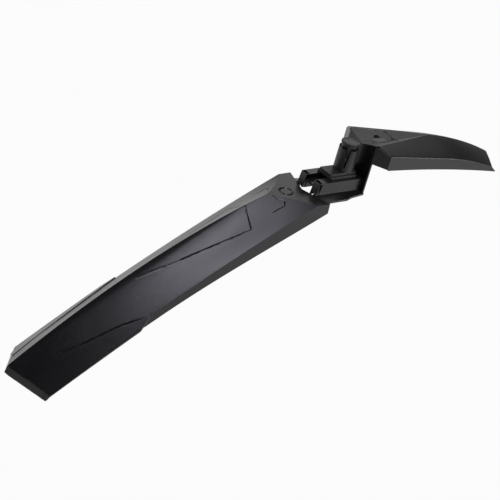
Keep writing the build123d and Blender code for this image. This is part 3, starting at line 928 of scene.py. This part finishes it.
def makeCap():
    size = cap
    r, z, bolt = size["d"] / 2, size["rimZ"], size["boltR"]
    profile = [(bolt, size["cone"]), (coneRadius(size["cone"]), size["cone"]), (coneRadius(z), z)]
    profile += [(r - inward, z + up) for inward, up in capRim]
    profile += [(0.0, z + size["sunk"]), (0.0, z + size["floor"]), (bolt, z)]
    wide = math.pi * size["d"] / size["teeth"] * size["toothWide"]
    back, tip = r - size["toothIn"], r - size["toothRound"]
    outline = [(back, -wide / 2, z), (tip, -wide / 2, z), (r, -wide / 4, z),
               (r, wide / 4, z), (tip, wide / 2, z), (back, wide / 2, z)]
    tooth = prism(outline, (0, 0, size["h"] - size["toothLow"]))
    roundEdges(tooth, sharpEdges(tooth, 50), size["toothEdge"], 2)
    piece = repeatAround("capAndCone", meshObject("tooth", tooth), size["teeth"], math.pi / size["teeth"], capPlastic)
    joinInto(piece, ringOf(profile, size["steps"]))
    finishPiece(piece, capPlastic, "cone_nut")


makeCap()
for name in ("clamp_bolt", "washer"):
    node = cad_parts[name]
    node.data.materials.clear()
    node.data.materials.append(zincPlate)
print("plug done")


# stage, light and camera

stage = {
    "floor": -0.206, "radius": 3.2, "wall": 1.05, "bend": 0.9, "bendSteps": 12, "steps": 96,
    "white": 0.8, "glow": 0.97, "mirror": 0.9, "mirrorBehind": 0.7,
}
masks = {  # direction in plan, then the distances between which the mask fades in
    "away": ((0.74, 0.67), (-0.8, -0.25)),  # the side of the camera stays dark in mirrors
    "right": ((0.98, -0.2), (0.5, 1.4)),  # and so does the far right
    "behind": ((0.71, 0.71), (1.0, 2.0)), "beyond": ((-0.4, 1.0), (0.0, 0.6)),  # except behind the front blade
    "room": ((0.74, 0.67), (-0.4, 0.6)),
}


def mask(tree, name, place):
    (x, y), (start, end) = masks[name]
    spot = makeNode(tree, "ShaderNodeSeparateXYZ", None, {0: makeNode(tree, "ShaderNodeTexCoord", None, None, place)})
    return (spot.out("X") * x + spot.out("Y") * y).fade(start, end)


def makeStage():
    size = stage
    flat, bend, steps = size["radius"] - size["bend"], size["bend"], size["steps"]
    turns = [math.pi / 2 * k / size["bendSteps"] for k in range(size["bendSteps"] + 1)]
    profile = [(flat + bend * math.sin(a), bend * (1 - math.cos(a))) for a in turns] + [(size["radius"], size["wall"])]
    bm = bmesh.new()
    rings = [[bm.verts.new(p) for p in circle(r, z + size["floor"], steps)] for r, z in profile]
    bm.faces.new(rings[0])
    for a, b in zip(rings, rings[1:]):
        bridge(bm, a, b)
    floor = meshObject("floor", bm)
    floor.data.shade_smooth()
    finish, tree = newFinish("paleFloor")
    ray = makeNode(tree, "ShaderNodeLightPath")
    away, right, behind, beyond = [mask(tree, key, "Object") for key in ("away", "right", "behind", "beyond")]
    level = (size["mirror"] * (1 - right)).high(size["mirrorBehind"] * (behind * beyond))
    mirrored = ray.out("Is Glossy Ray").high(ray.out("Is Transmission Ray")) * away * level
    seen = ray.out("Is Camera Ray").high(mirrored)
    matt = makeNode(tree, "ShaderNodeBsdfDiffuse", None, {"Color": (size["white"], size["white"], size["white"], 1)})
    glow = makeNode(tree, "ShaderNodeEmission", None, {"Color": (1, 1, 1, 1), "Strength": 1.0})
    mixed = makeNode(tree, "ShaderNodeMixShader", None, {0: seen * size["glow"], 1: matt, 2: glow})
    closeFinish(tree, mixed)
    floor.data.materials.append(finish)


makeStage()

cool, white = (0.88, 0.87, 1.0), (1, 1, 1)
lights = {  # direction and height in degrees, seen from the middle of the guard, then width, depth and power
    "left": {"turn": -120, "rise": 53, "size": (0.4, 0.4), "power": 1.7, "tint": cool},
    "over": {"turn": -112, "rise": 57, "size": (0.4, 0.4), "power": 2.7, "tint": cool},
    "middle": {"turn": -100, "rise": 64, "size": (0.5, 0.5), "power": 2.1, "tint": cool},
    "high": {"turn": -85, "rise": 73, "size": (0.5, 0.5), "power": 1.8, "tint": cool},
    "top": {"turn": -50, "rise": 80, "size": (0.6, 0.6), "power": 1.6, "tint": cool},
    "back": {"turn": 45, "rise": 26, "size": (0.6, 0.5), "power": 0.95, "tint": white},
    "ahead": {"turn": 18, "rise": 55, "size": (0.6, 0.5), "power": 2.2, "tint": white},
    "low": {"turn": 18, "rise": 36, "size": (0.5, 0.4), "power": 0.6, "tint": white},
    "side": {"turn": -48, "rise": 6, "size": (1.2, 0.4), "power": 13.0, "tint": white},
    "far": {"turn": 130, "rise": 32, "size": (0.9, 0.6), "power": 4.0, "tint": white},
    "fill": {"turn": -90, "rise": 75, "size": (2.4, 2.4), "power": 7.0, "tint": white, "mirror": False},
}
lampAim, lampAway = (-0.08, 0, -0.04), 1.6
room = {"least": 0.03, "more": 0.02, "tint": (0.95, 0.96, 1.0, 1)}


def makeLights():
    for name, size in lights.items():
        lamp = bpy.data.lights.new(name, "AREA")
        lamp.shape = "RECTANGLE"
        lamp.size, lamp.size_y = size["size"]
        lamp.energy, lamp.color = size["power"], size["tint"]
        spot = bpy.data.objects.new(name, lamp)
        bpy.context.scene.collection.objects.link(spot)
        turn, rise = math.radians(size["turn"]), math.radians(size["rise"])
        back = Vector((math.cos(rise) * math.cos(turn), math.cos(rise) * math.sin(turn), math.sin(rise)))
        wide = Vector((-math.sin(turn), math.cos(turn), 0))
        spin = Matrix((wide, back.cross(wide), back)).transposed()
        spot.matrix_world = Matrix.Translation(Vector(lampAim) + back * lampAway) @ spin.to_4x4()
        spot.visible_camera = False
        spot.visible_glossy = size.get("mirror", True)


def makeRoom():
    world = bpy.data.worlds.new("room")
    bpy.context.scene.world = world
    world.use_nodes = True
    tree = world.node_tree
    tree.nodes.clear()
    bright = room["least"] + room["more"] * mask(tree, "room", "Generated")
    glow = makeNode(tree, "ShaderNodeBackground", None, {"Color": room["tint"], "Strength": bright})
    last = tree.nodes.new("ShaderNodeOutputWorld")
    tree.links.new(glow.socket, last.inputs["Surface"])


makeLights()
makeRoom()

view = {
    "place": (-749.18, -681.06, 449.33), "right": (0.79084, -0.57127, 0.21960),
    "up": (0.14723, 0.52585, 0.83774), "ahead": (0.59405, 0.63019, -0.49997), "angle": 28.737,
}


def makeCamera():
    lens = bpy.data.cameras.new("camera")
    lens.sensor_fit = "HORIZONTAL"
    lens.angle = math.radians(view["angle"])
    lens.clip_start, lens.clip_end = 0.01, 50
    camera = bpy.data.objects.new("camera", lens)
    bpy.context.scene.collection.objects.link(camera)
    right, up, back = Vector(view["right"]), Vector(view["up"]), -Vector(view["ahead"])
    turn = Matrix((right, up, back)).transposed()
    camera.matrix_world = Matrix.Translation(Vector(view["place"]) * mm) @ turn.to_4x4()
    bpy.context.scene.camera = camera


makeCamera()
bpy.context.scene.view_settings.view_transform = "Standard"
print("stage done")
